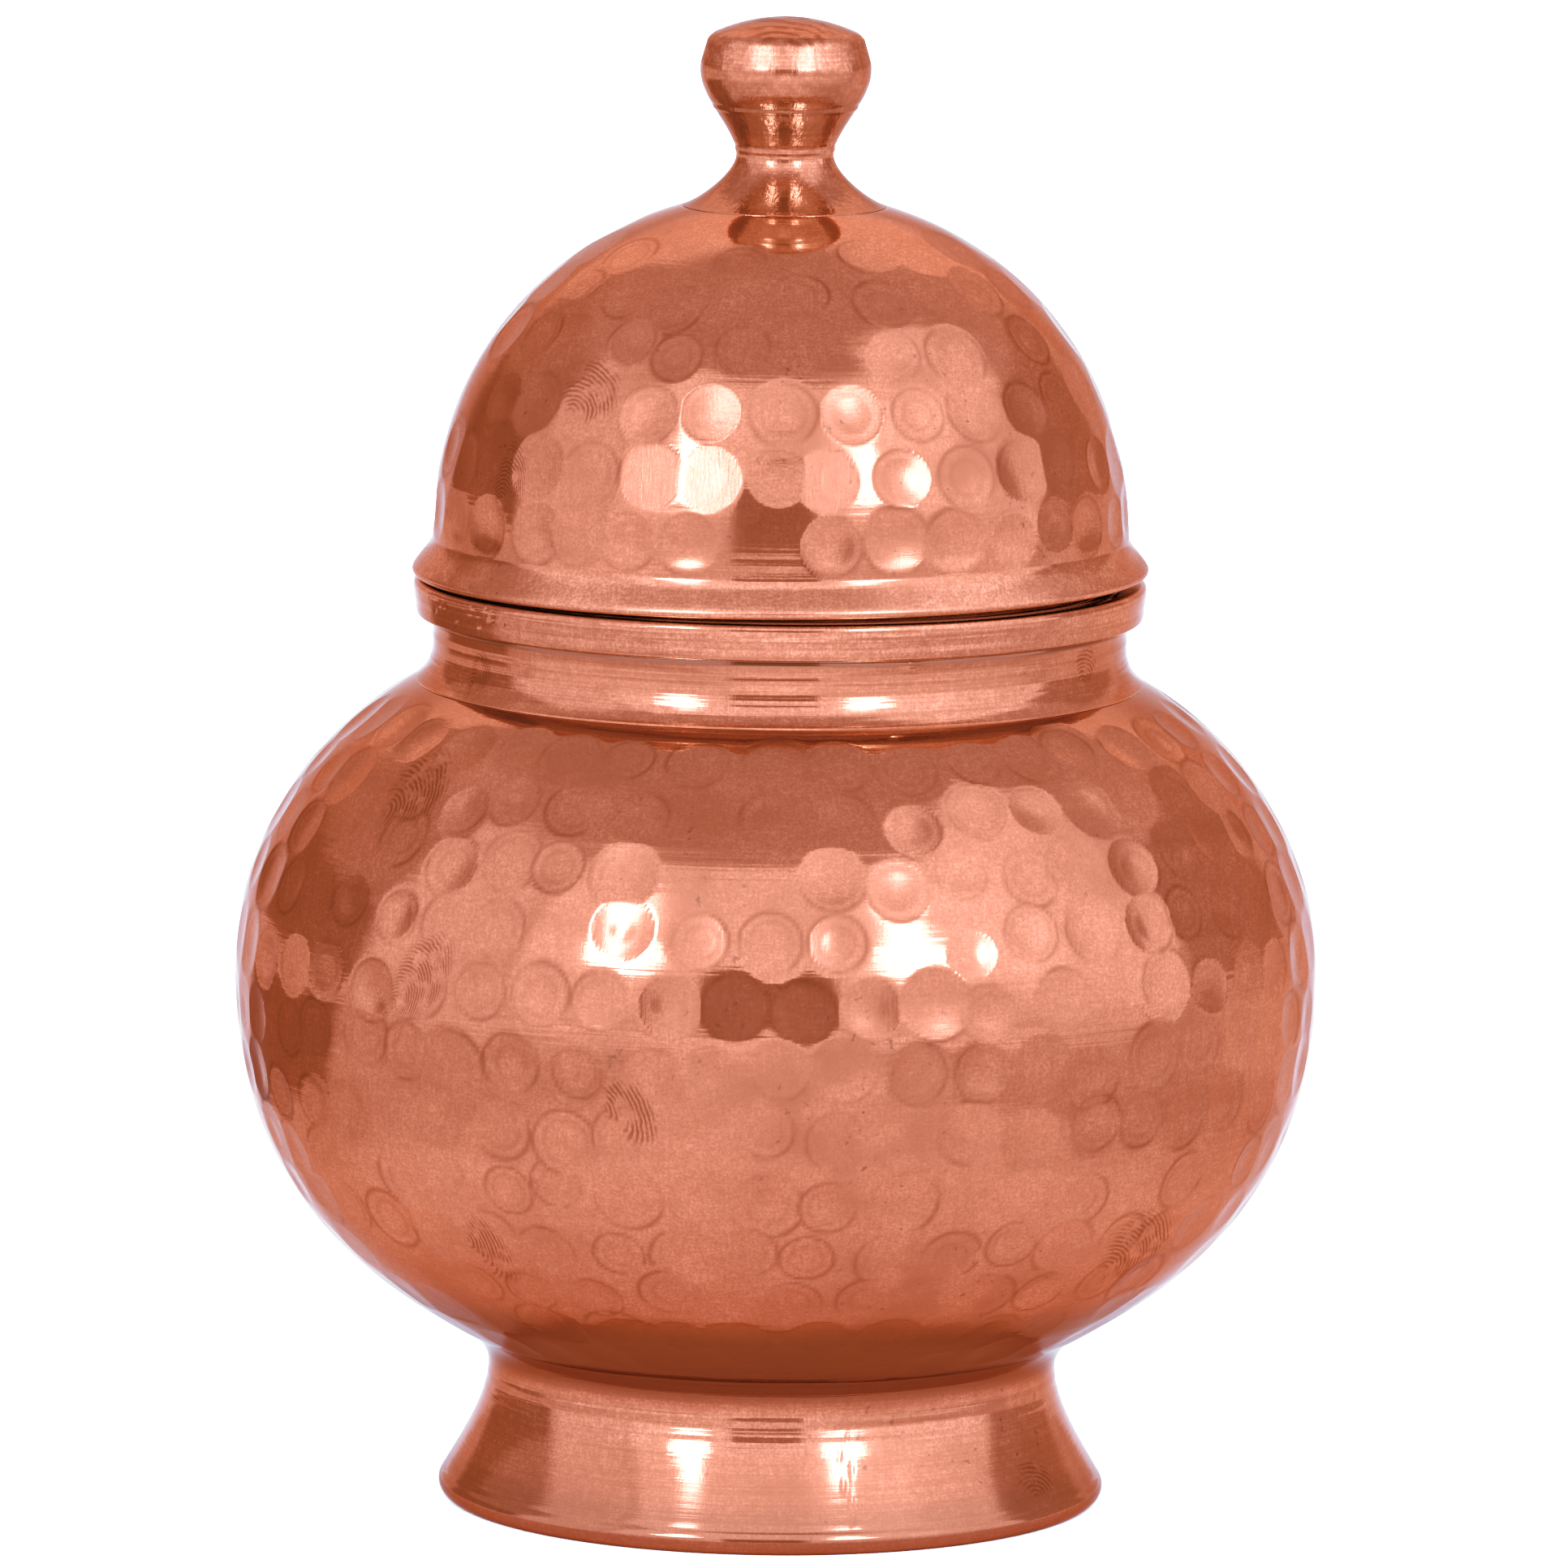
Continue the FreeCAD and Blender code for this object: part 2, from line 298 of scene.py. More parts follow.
def dents(outline, segments, *spots):
    """Small dents and creases: each spot is (degrees, height, width, length, depth, sideways lean)."""
    turn = np.degrees(np.linspace(0, 2 * math.pi, segments, endpoint=False))
    total = np.zeros((len(outline), segments))
    for degrees, height, width, length, depth, lean in spots:
        up = (outline[:, 1:] - height) / length
        across = np.radians((turn - degrees + 180) % 360 - 180) * outline[:, :1] / width - lean * up
        total -= depth * np.exp(-(up**2) - across**2)
    return total


def ridges(outline, *rings):
    """Fine turned ridges and grooves: each ring is (height, width, how far it stands out)."""
    z = outline[:, 1]
    total = np.zeros(len(outline))
    for height, width, rise in rings:
        total += rise * np.exp(-(((z - height) / width) ** 2))
    return total[:, None]


# ---------------------------------------------------------------------------------------------
# The turned pieces, in the CAD part's own dimensions
# ---------------------------------------------------------------------------------------------

BELLY_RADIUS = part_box("belly_shell")[1][0] / MM
BELLY_WIDEST = 74.0
FLOOR_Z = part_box("belly_shell")[0][2] / MM
FOOT_JOINT = (41.5, 22.87)
NECK_JOINT = (50.6, 114.03)
BODY_SHEET = 1.2
NECK_RADIUS = 47.95
OPENING = NECK_RADIUS - BODY_SHEET
SHOULDER_SLOPE = 0.4953
MOUTH_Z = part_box("mouth_ring")[1][2] / MM
LIP_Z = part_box("lid_dome")[0][2] / MM
CROWN_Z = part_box("lid_dome")[1][2] / MM
DOME_RADIUS = 48.1
DOME_FOOT = 134.3
DOME_SHEET = 1.1
KNOB_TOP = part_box("knob")[1][2] / MM
SCREW_HOLE = 2.6

WIDEST = (BELLY_RADIUS, BELLY_WIDEST)
LOWER_BELLY = (FOOT_JOINT, (55.77, 30.68), (BELLY_RADIUS, BELLY_WIDEST - 31.3), WIDEST)
UPPER_BELLY = (WIDEST, (BELLY_RADIUS, BELLY_WIDEST + 21.65), (59.2, 109.77), NECK_JOINT)
BELLY_FLOOR = ((12.0, FLOOR_Z), (24.0, FLOOR_Z), (33.0, 18.22), FOOT_JOINT)
DOME = (
    (DOME_RADIUS, DOME_FOOT),
    (DOME_RADIUS - 0.15, DOME_FOOT + 25.4),
    (31.41, 175.13),
    (14.2, CROWN_Z),
)


def make_belly():
    """The hammered globe, down to its flat floor, with the inside at the sheet's thickness."""
    segments = 940
    inner_floor = beside(BELLY_FLOOR, BODY_SHEET)
    inner_lower = beside(LOWER_BELLY, BODY_SHEET)
    inner_upper = beside(UPPER_BELLY, BODY_SHEET)
    outer_rim = (OPENING, NECK_JOINT[1] + (NECK_JOINT[0] - OPENING) * SHOULDER_SLOPE)
    inner_rim = (OPENING, inner_upper[3][1] + (inner_upper[3][0] - OPENING) * SHOULDER_SLOPE)
    below = joined(line((0, FLOOR_Z), BELLY_FLOOR[0], 2), curve(BELLY_FLOOR, 1.2))
    outer = joined(curve(LOWER_BELLY, 0.5), curve(UPPER_BELLY, 0.5))
    inside = joined(
        line(NECK_JOINT, outer_rim, 0.8),
        line(outer_rim, inner_rim, 0.6),
        line(inner_rim, tuple(inner_upper[3]), 1.2),
        curve(inner_upper[::-1], 2.0),
        curve(inner_lower[::-1], 2.0),
        curve(inner_floor[::-1], 2.0),
        line(tuple(inner_floor[0]), (0, FLOOR_Z + BODY_SHEET), 2),
    )
    marks, struck, rims = hammer(
        outer,
        segments,
        anchor_z=80.0,
        rows=range(-7, 5),
        phases={0: 2.9, 1: -1.0, 2: 13.8, -1: 0.5, 3: 16.5},
        fade=lambda z: 0.55 + 0.45 * min(1, max(0, (z - 35) / 30)),
        smooth=(
            (14.2, 87.0, 5.0),
            (-24.0, 88.0, 3.0),
            (-7.0, 102.0, 4.0),
            (1.0, 96.5, 4.0),
            (-8.0, 96.5, 4.0),
        ),
        chosen=(
            (-16.6, 89.8, 4.4, 2.4, 0, 0.42, 0.05, 0.012),
            (13.6, 95.2, 4.5, 1.5, 0, 0.62, 0.06, 0.016),
            (21.2, 86.8, 3.5, 2.0, 0, 0.6, 0.06, 0.014),
            (16.6, 102.6, 4.0, 1.6, 0, 0.6, 0.03, 0.01),
            (22.4, 79.0, 4.0, 2.0, 0, 0.6, 0.08, 0.016),
            (-12.6, 69.8, 4.4, 1.2, 0, 0.65, 0.05, 0.012),
            (-4.2, 80.2, 4.5, 1.0, 0, 0.6, 0.0, 0.0),
            (2.9, 79.6, 4.4, 1.05, 0, 0.8, 0.0, 0.008),
        ),
    )
    marks += unevenness(outer, segments, 0.05)
    shift = len(below) - 1
    outline = joined(below, outer, inside)
    ease = np.clip((outer[:, 1] - FOOT_JOINT[1]) / 2.5, 0, 1)
    marks *= (ease * np.clip((NECK_JOINT[1] - outer[:, 1]) / 2.0, 0, 1))[:, None]
    relief = placed(marks, shift, len(outline))
    traces = {"struck": placed(struck, shift, len(outline)), "rim": placed(rims, shift, len(outline))}
    return spin("belly", outline, segments, relief, closed=False, traces=traces)


def make_neck():
    """The smooth collar on the shoulder, with turned grooves and a drip under the mouth band."""
    segments = 480
    flange = ((50.25, 114.5), (49.0, 115.5), (NECK_RADIUS, 117.0), (NECK_RADIUS, 119.5))
    top = MOUTH_Z - 0.3
    edge = BODY_SHEET / 2
    outline = joined(
        line((OPENING, 115.95), (50.25, 114.22), 0.6),
        line((50.25, 114.22), (50.25, 114.5), 0.15),
        curve(flange, 0.2),
        line(flange[3], (NECK_RADIUS, top), 0.3),
        line((NECK_RADIUS, top), (OPENING + edge, top), 0.3),
        arc((OPENING + edge, top - edge), edge, 90, 180),
        line((OPENING, top - edge), (OPENING, 115.95), 1.0),
    )[:-1]
    grooves = ((117.4, 0.25, 0.05), (118.6, 0.2, -0.04), (120.4, 0.3, 0.05), (121.2, 0.2, -0.03))
    relief = ridges(outline, *grooves, (122.6, 0.55, 0.17))
    outside = (outline[:, 0] > OPENING + 0.7)[:, None]
    relief = relief * outside + unevenness(outline, segments, 0.02, 5)
    relief += dents(outline, segments, (21.9, 122.8, 1.0, 0.9, -0.3, 0)) * outside
    return spin("neck", outline, segments, relief)


def make_mouth_ring():
    """The band round the mouth, nicked and streaked. It starts a little higher than the CAD's."""
    segments = 800
    bottom = 123.1
    edge = ((49.85, 123.4), (50.05, 123.45), (50.2, 123.6), (50.25, 123.95))
    outline = joined(
        line((NECK_RADIUS, bottom), edge[0], 0.25),
        curve(edge, 0.15),
        line(edge[3], (50.65, 127.5), 0.25),
        arc((49.75, 127.6), 0.9, 0, 90),
        line((49.75, MOUTH_Z), (NECK_RADIUS, MOUTH_Z), 0.4),
        line((NECK_RADIUS, MOUTH_Z), (NECK_RADIUS, bottom), 1.0),
    )[:-1]
    lines = ((124.5, 0.12, 0.03), (125.3, 0.12, -0.05), (126.2, 0.2, 0.04), (127.0, 0.2, 0.05))
    relief = ridges(outline, *lines) + unevenness(outline, segments, 0.03, 8)
    nicks = [(random.uniform(-72, -48), random.uniform(124.8, 128), 0.35, 0.3, 0.12, 1) for _ in range(14)]
    streaks = []
    for _ in range(36):
        spot = (random.uniform(-45, 45), random.uniform(125, 128.2), random.uniform(1.5, 5))
        streaks.append((*spot, 0.22, random.uniform(-0.07, 0.07), 0))
    relief += dents(outline, segments, *nicks, *streaks) * (outline[:, :1] > NECK_RADIUS + 0.5)
    return spin("mouth_band", outline, segments, relief)


def make_foot():
    """The flared foot, with its rolled edge, turned grooves, a crease and some scrapes."""
    segments = 900
    centre = (44.34, 1.8)
    roll = 1.9
    sheet = 1.1
    lean = math.radians(31)
    foot = (centre[0] + roll * math.cos(lean), centre[1] + roll * math.sin(lean))
    waist = (39.43, 18.4)
    straight = 5.05
    shin = (foot[0] - straight * math.sin(lean), foot[1] + straight * math.cos(lean))
    flare = (foot, shin, (waist[0], 13.3), waist)
    inner = beside(flare, sheet)
    seat = (42.4, 23.36)
    throat = (waist, (waist[0], waist[1] + 2.2), (40.7, 22.2), seat)
    inner_seat = (waist[0] - sheet, 21.1)
    outline = joined(
        arc(centre, roll, -214, 31),
        curve(flare, 0.3),
        curve(throat, 0.25),
        line(seat, inner_seat, 0.8),
        line(inner_seat, tuple(inner[3]), 0.8),
        curve(inner[::-1], 0.8),
        arc(centre, roll - sheet, 31, -214),
    )
    outline[:, 1] = np.maximum(outline[:, 1], 0)
    outside = (outline[:, 0] > np.interp(outline[:, 1], (0, 18, 24), (44.0, 38.9, 38.9)))[:, None]
    standing = outline[:, 1:] < 0.6
    rings = ridges(outline, (3.4, 0.3, -0.06), (15.2, 0.25, 0.05), (16.3, 0.22, -0.05), (17.4, 0.3, 0.05))
    crease = [(14.5 + 1.1 * math.sin(1.3 * z), z, 0.3, 1.2, 0.07, 0.6) for z in range(5, 21, 2)]
    scrapes = [(random.uniform(50, 64), random.uniform(3.5, 9), 0.4, 0.4, 0.06, 0) for _ in range(16)]
    relief = rings + unevenness(outline, segments, 0.02, 5) + dents(outline, segments, *crease, *scrapes)
    return spin("foot", outline, segments, relief * outside * ~standing)


def warp_lip(points):
    """The lip isn't quite true: it rises on the right-hand side, and that dies out up the dome."""
    share = np.clip((150 - points[:, 2]) / 20, 0, 1)
    side = 0.5 + 0.5 * points[:, 0] / DOME_RADIUS
    moved = points.copy()
    moved[:, 2] += 0.75 * share * np.clip(side, 0, 1) ** 1.2
    return moved


def make_dome():
    """The hammered dome, with the smooth lip turned out of the same sheet."""
    segments = 680
    bead = 0.72
    centre = (50.87 - bead, LIP_Z + bead)
    wall = DOME_RADIUS - DOME_SHEET
    slope = 28
    cone = math.radians(slope)
    cove_top = (centre[0] + bead * math.cos(cone), centre[1] + bead * math.sin(cone))
    cove_run = (cove_top[0] - 1.6 * math.sin(cone), cove_top[1] + 1.6 * math.cos(cone))
    cove = (cove_top, cove_run, (DOME_RADIUS + 0.02, DOME_FOOT - 1.4), (DOME_RADIUS, DOME_FOOT))
    inner = beside(DOME, DOME_SHEET)
    lip = joined(
        line((wall, LIP_Z), (centre[0], LIP_Z), 0.4),
        arc(centre, bead, -90, slope),
        curve(cove, 0.2),
    )
    outer = curve(DOME, 0.45)
    inside = joined(
        line((14.2, CROWN_Z), (SCREW_HOLE, CROWN_Z), 1.5),
        line((SCREW_HOLE, CROWN_Z), (SCREW_HOLE, CROWN_Z - DOME_SHEET), 0.5),
        line((SCREW_HOLE, CROWN_Z - DOME_SHEET), tuple(inner[3]), 1.5),
        curve(inner[::-1], 1.5),
        line(tuple(inner[0]), (wall, LIP_Z), 0.8),
    )[:-1]
    marks, struck, rims = hammer(
        outer,
        segments,
        anchor_z=138.6,
        rows=range(0, 6),
        phases={0: 8.3, 1: -0.6, 2: -0.5},
        fade=lambda z: 0.4 + 0.6 * min(1, max(0, (171 - z) / 14)),
        smooth=((-3.5, 138.5, 4.5),),
        chosen=(
            (-12.8, 147.6, 4.6, 0.9, -0.012, 0.6, 0.01, 0.004),
            (-0.4, 148.0, 4.2, 1.1, 0, 0.65, 0.02, 0.012),
            (20.6, 147.7, 4.2, 2.4, 0, 0.65, 0.06, 0.016),
            (12.6, 156.2, 4.4, 1.5, 0, 0.6, 0.06, 0.014),
            (-15.2, 138.6, 4.2, 2.3, 0, 0.7, 0.03, 0.012),
            (8.4, 138.6, 4.3, 1.4, 0, 0.7, 0.05, 0.016),
            (9.8, 147.6, 4.3, 1.0, 0.035, 0.65, 0.0, 0.006),
        ),
    )
    marks += unevenness(outer, segments, 0.05)
    outline = joined(lip, outer, inside)
    ease = np.clip((outer[:, 1] - DOME_FOOT) / 2.0, 0, 1) * np.clip((outer[:, 0] - 15) / 4, 0, 1)
    shift = len(lip) - 1
    relief = placed(marks * ease[:, None], shift, len(outline))
    traces = {"struck": placed(struck, shift, len(outline)), "rim": placed(rims, shift, len(outline))}
    return spin("dome", outline, segments, relief, warp=warp_lip, traces=traces)


def make_lid_collar():
    """The collar inside the lid: it fits the dome's wall, and steps in to drop into the mouth."""
    outer = DOME_RADIUS - DOME_SHEET - 0.05
    lower = OPENING - 0.85
    sheet = 0.9
    top = LIP_Z + 6.5
    bottom = MOUTH_Z - 10
    step = (LIP_Z + 0.4, LIP_Z + 1.8)
    outline = joined(
        line((lower, bottom), (lower, step[0]), 0.8),
        line((lower, step[0]), (outer, step[1]), 0.4),
        line((outer, step[1]), (outer, top), 0.8),
        line((outer, top), (outer - sheet, top), 0.4),
        line((outer - sheet, top), (outer - sheet, step[1] + 0.4), 0.8),
        line((outer - sheet, step[1] + 0.4), (lower - sheet, step[0] + 0.4), 0.4),
        line((lower - sheet, step[0] + 0.4), (lower - sheet, bottom), 0.8),
        line((lower - sheet, bottom), (lower, bottom), 0.4),
    )[:-1]
    return spin("inner_collar", outline, 400, warp=warp_lip)


def make_knob():
    """The knob with its spreading foot, bored from below for the screw."""
    base = (14.0, CROWN_Z + 0.12)
    waist = (6.75, 187.2)
    shoulder = (11.8, 198.6)
    band_foot = (11.62, 200.3)
    edge = (10.85, 203.0)
    crown = (9.7, 204.1)
    hole = SCREW_HOLE - 0.05
    hole_top = CROWN_Z + 10
    outline = joined(
        line((0, hole_top + 1.5), (hole, hole_top), 1.5),
        line((hole, hole_top), (hole, CROWN_Z), 2),
        line((hole, CROWN_Z), (base[0], CROWN_Z), 1),
        line((base[0], CROWN_Z), base, 0.3),
        curve((base, (11.9, 180.8), (waist[0], waist[1] - 2.56), waist), 0.2),
        curve((waist, (waist[0], waist[1] + 3.2), (11.68, 194.67), shoulder), 0.2),
        curve((shoulder, (11.82, 199.4), (11.8, 199.9), band_foot), 0.15),
        line(band_foot, edge, 0.3),
        curve((edge, (10.7, 203.3), (10.2, 203.85), crown), 0.2),
        curve((crown, (6.5, 205.5), (3.2, KNOB_TOP), (0, KNOB_TOP)), 0.3),
    )
    outside = (outline[:, 0] > hole + 0.1)[:, None] & (outline[:, 1:] > base[1])
    turned = ((187.9, 0.22, 0.1), (188.6, 0.2, -0.06), (193.7, 0.2, 0.1), (194.3, 0.18, -0.06))
    rings = ridges(outline, *turned)
    return spin("knob_turned", outline, 320, rings * outside)


# ---------------------------------------------------------------------------------------------
# Materials
# ---------------------------------------------------------------------------------------------

# Copper as it is seen directly: clean; with a film on it, also used for painted shade along the
# hammer marks' rims; tarnished, also used for painted shade in bands under and between the parts;
# in a finger mark or crease, also used for the darkest painted shade on the rims; and drawn lighter
# than clean copper, a painted sheen. Then copper that is seen mirrored in copper, and the tint at
# grazing angles.
COPPER = (0.66, 0.22, 0.137, 1)
SMUDGE_AND_RIM_SHADE = (0.42, 0.142, 0.089, 1)
TARNISH_AND_SHADE = (0.3, 0.12, 0.08, 1)
FINGER_DIRT_AND_RIM_SHADE = (0.2, 0.07, 0.045, 1)
PAINTED_SHEEN = (0.86, 0.3, 0.19, 1)
MIRRORED = (0.62, 0.56, 0.51, 1)
EDGE_TINT = (0.84, 0.6, 0.54, 1)


def grey(level):
    return (level, level, level, 1)


class Nodes:
    """Short calls for building the nodes of one material, or of the world."""

    def __init__(self, tree):
        self.tree = tree
        tree.nodes.clear()

    def add(self, kind, settings=None, **inputs):
        """A node with its inputs set or linked: by name, or by number as i0, i1 and so on."""
        node = self.tree.nodes.new(kind)
        for key, value in (settings or {}).items():
            setattr(node, key, value)
        for key, value in inputs.items():
            by_number = key[0] == "i" and key[1:].isdigit()
            socket = node.inputs[int(key[1:]) if by_number else key.replace("_", " ")]
            self.give(socket, value)
        return node

    def give(self, socket, value):
        if isinstance(value, bpy.types.NodeSocket):
            self.tree.links.new(value, socket)
        else:
            socket.default_value = value

    def math(self, operation, a, b=0.0):
        return self.add("ShaderNodeMath", {"operation": operation}, i0=a, i1=b).outputs[0]

    def product(self, value, *factors):
        for factor in factors:
            value = self.math("MULTIPLY", value, factor)
        return value

    def spread(self, value, low, high, to_low=0.0, to_high=1.0):
        """A smooth step from to_low, where the value is low, to to_high, where it is high."""
        node = self.add("ShaderNodeMapRange", {"interpolation_type": "SMOOTHSTEP"}, Value=value)
        limits = {"From Min": low, "From Max": high, "To Min": to_low, "To Max": to_high}
        for name, number in limits.items():
            node.inputs[name].default_value = number
        return node.outputs["Result"]

    def noise(self, position, scale, detail=2.0, stretch=(1, 1, 1), rotation=(0, 0, 0), swirl=0.0):
        mapping = self.add("ShaderNodeMapping", {}, Vector=position)
        mapping.inputs["Scale"].default_value = stretch
        mapping.inputs["Rotation"].default_value = rotation
        texture = self.add("ShaderNodeTexNoise", {}, Vector=mapping.outputs[0])
        texture.inputs["Scale"].default_value = scale
        texture.inputs["Detail"].default_value = detail
        texture.inputs["Distortion"].default_value = swirl
        return texture.outputs["Fac"]

    def blend(self, share, a, b):
        """Colour a where the share is 0 and colour b where it is 1."""
        node = self.add("ShaderNodeMix", {"data_type": "RGBA"}, i0=share)
        self.give(node.inputs[6], a)
        self.give(node.inputs[7], b)
        return node.outputs[2]

    def end(self, shader, kind="ShaderNodeOutputMaterial"):
        self.tree.links.new(shader.outputs[0], self.add(kind).inputs[0])

    def metal(self, colour, roughness, height, unit):
        """Bare metal with a relief whose heights are counted in the given unit, in metres."""
        bump = self.add("ShaderNodeBump", {}, Height=height, Strength=1.0, Distance=unit)
        inputs = {"Base_Color": colour, "Roughness": roughness, "Metallic": 1.0}
        shader = self.add("ShaderNodeBsdfPrincipled", {}, **inputs)
        self.tree.links.new(bump.outputs[0], shader.inputs["Normal"])
        self.end(shader)
        return shader


def new_material(name):
    """An empty material, its nodes, and the place on the piece, in metres."""
    material = bpy.data.materials.new(name)
    material.use_nodes = True
    n = Nodes(material.node_tree)
    return material, n, n.add("ShaderNodeTexCoord").outputs["Object"]


def copper(
    name,
    roughness,
    lathe,
    scratches,
    dullness,
    lines=0,
    chatter=0,
    mottle=0.15,
    struck=False,
    painted_shade=(),
    painted_sheen=(),
    rubbed=(),
    smudges=(),
):
    """Copper sheet or bar. lathe, lines, chatter and scratches are the size of its marks, in
    micrometres; dullness and mottle are how much of a film it has, in clouds and in specks.
    Bands (low, high, amount), in millimetres, are listed three ways: painted shade, drawn darker
    under and between the parts; painted sheen, drawn lighter than clean copper; and rubbed, which
    are rougher. Each of smudges is a finger mark (degrees, height, radius, width, length, lean).
    Struck copper also gets painted shade along the rims and inner rings of its hammer marks,
    partly dirt in their creases. Copper mirrored in copper is paler, so that joints aren't redder
    than the rest."""
    material, n, place = new_material(name)
    z = n.product(n.add("ShaderNodeSeparateXYZ", {}, Vector=place).outputs[2], 1 / MM)

    def band(low, high, amount):
        edge = (high - low) * 0.3
        return n.product(n.spread(z, low, low + edge), n.spread(z, high - edge, high, amount, 0))

    clouds = n.noise(place, 22, 6)
    streaks = n.noise(place, 1, 5, (45, 45, 190))
    blotches = n.noise(place, 110, 5)
    turning = n.noise(place, 1, 2, (24, 24, 900))
    fine_turning = n.noise(place, 1, 3, (30, 30, 4200))
    swirl = n.noise(place, 1, 2, (420, 420, 1900), (0.5, 0.35, 0.4), 1.5)
    cross = n.noise(place, 1, 2, (1500, 500, 260), (0.3, -0.5, 0.6), 1.2)
    grain = n.noise(place, 2700, 2)
    dull = n.product(n.spread(clouds, 0.44, 0.68), n.spread(blotches, 0.36, 0.62), dullness)
    touched = 0.0
    for smudge in smudges:
        touched = n.math("MAXIMUM", touched, finger_mark(n, place, *smudge))
    dull = n.math("MAXIMUM", dull, touched)
    rough = n.math("ADD", roughness, n.product(dull, 0.12))
    rough = n.math("ADD", rough, n.product(n.spread(grain, 0.3, 0.7), 0.05))
    for low, high, amount in rubbed:
        rough = n.math("ADD", rough, band(low, high, amount))
    height = n.math("ADD", n.product(turning, lathe), n.product(fine_turning, lines))
    if chatter:
        upright = n.noise(place, 1, 2, (1500, 1500, 150))
        height = n.math("ADD", height, n.product(upright, chatter))
    fine = n.product(n.math("ADD", swirl, cross), scratches)
    colour = COPPER
    # Painted sheen: the listed bands are drawn lighter than clean copper
    for low, high, amount in painted_sheen:
        colour = n.blend(band(low, high, amount), colour, PAINTED_SHEEN)
    films = [
        dull,
        n.spread(streaks, 0.45, 0.7, 0, 0.4),
        n.spread(n.product(swirl, cross), 0.2, 0.36, 0.35, 0),
        n.spread(grain, 0.35, 0.68, 0, 0.6),
        n.spread(n.noise(place, 900, 4), 0.44, 0.62, 0, mottle),
    ]
    if lines:
        films.append(n.spread(fine_turning, 0.46, 0.62, 0, 0.45))
    for film in films:
        colour = n.blend(film, colour, SMUDGE_AND_RIM_SHADE)
    specks = n.product(n.spread(n.noise(place, 800, 2), 0.66, 0.74), n.spread(clouds, 0.5, 0.62))
    colour = n.blend(specks, colour, TARNISH_AND_SHADE)
    if struck:
        blow = n.add("ShaderNodeAttribute", {"attribute_name": "struck"}).outputs["Fac"]
        rim = n.add("ShaderNodeAttribute", {"attribute_name": "rim"}).outputs["Fac"]
        rough = n.math("ADD", rough, n.product(blow, 0.06))
        height = n.product(height, n.math("SUBTRACT", 1.0, n.product(blow, 0.85)))
        fine = n.product(fine, n.math("ADD", 0.5, n.product(blow, 0.5)))
        # Painted shade along the marks' rims and inner rings, in patches, partly dirt in their creases
        rim_dirt_and_shade = n.product(rim, n.spread(n.noise(place, 75, 4), 0.42, 0.6, 0.06, 0.75))
        colour = n.blend(rim_dirt_and_shade, colour, SMUDGE_AND_RIM_SHADE)
        colour = n.blend(n.product(rim_dirt_and_shade, rim_dirt_and_shade, 0.7), colour, FINGER_DIRT_AND_RIM_SHADE)
    height = n.math("ADD", height, fine)
    height = n.math("ADD", height, n.product(grain, 2.5))
    colour = n.blend(n.product(touched, 0.5), colour, FINGER_DIRT_AND_RIM_SHADE)
    # Painted shade: the listed bands are drawn darker, under and between the parts, where shade falls
    for low, high, amount in painted_shade:
        colour = n.blend(band(low, high, amount), colour, TARNISH_AND_SHADE)
    colour = n.blend(n.add("ShaderNodeLightPath").outputs["Is Glossy Ray"], colour, MIRRORED)
    shader = n.metal(colour, rough, height, MICROMETRE)
    shader.inputs["Specular Tint"].default_value = EDGE_TINT
    return material


def finger_mark(n, place, degrees, height, radius, width, length, lean):
    """A smudge of skin ridges about half a millimetre apart, patchy and fading at its edge. It is
    deep enough to reach the curved sheet everywhere."""
    depth = 20
    turn = math.radians(degrees)
    mapping = n.add("ShaderNodeMapping", {"vector_type": "TEXTURE"}, Vector=place)
    mapping.inputs["Location"].default_value = (
        radius * math.sin(turn) * MM,
        -radius * math.cos(turn) * MM,
        height * MM,
    )
    mapping.inputs["Rotation"].default_value = (0, math.radians(lean), turn)
    mapping.inputs["Scale"].default_value = (width * MM, depth * MM, length * MM)
    local = mapping.outputs[0]
    away = n.add("ShaderNodeVectorMath", {"operation": "LENGTH"}, i0=local).outputs["Value"]
    inside = n.spread(away, 0.55, 1.0, 1, 0)
    patchy = n.spread(n.noise(place, 420, 4), 0.36, 0.56)
    off_centre = n.add("ShaderNodeVectorMath", {"operation": "ADD"}, i0=local, i1=(0.3, 0, 0.75))
    waves = n.add(
        "ShaderNodeTexWave",
        {"wave_type": "RINGS", "rings_direction": "SPHERICAL"},
        Vector=off_centre.outputs[0],
    )
    waves.inputs["Scale"].default_value = length * 0.55
    waves.inputs["Distortion"].default_value = 3
    waves.inputs["Detail"].default_value = 2
    waves.inputs["Detail Scale"].default_value = 1.5
    skin_ridges = n.spread(waves.outputs["Fac"], 0.35, 0.65, 0.15, 1)
    return n.product(inside, patchy, skin_ridges)


def plain_metal(name, light, dark, roughness, scale, lumps):
    """Solder or plated steel: a dull metal whose fine lumps are that high, in metres."""
    material, n, place = new_material(name)
    cloud = n.noise(place, scale, 5)
    colour = n.blend(n.spread(cloud, 0.35, 0.65), light, dark)
    rough = n.spread(cloud, 0.3, 0.7, roughness - 0.08, roughness + 0.12)
    n.metal(colour, rough, cloud, lumps)
    return material


# ---------------------------------------------------------------------------------------------
# Studio: pale floor, two soft boxes with a strip above each, and the room that the copper mirrors
# ---------------------------------------------------------------------------------------------

ROOM_LIGHT = 1.7

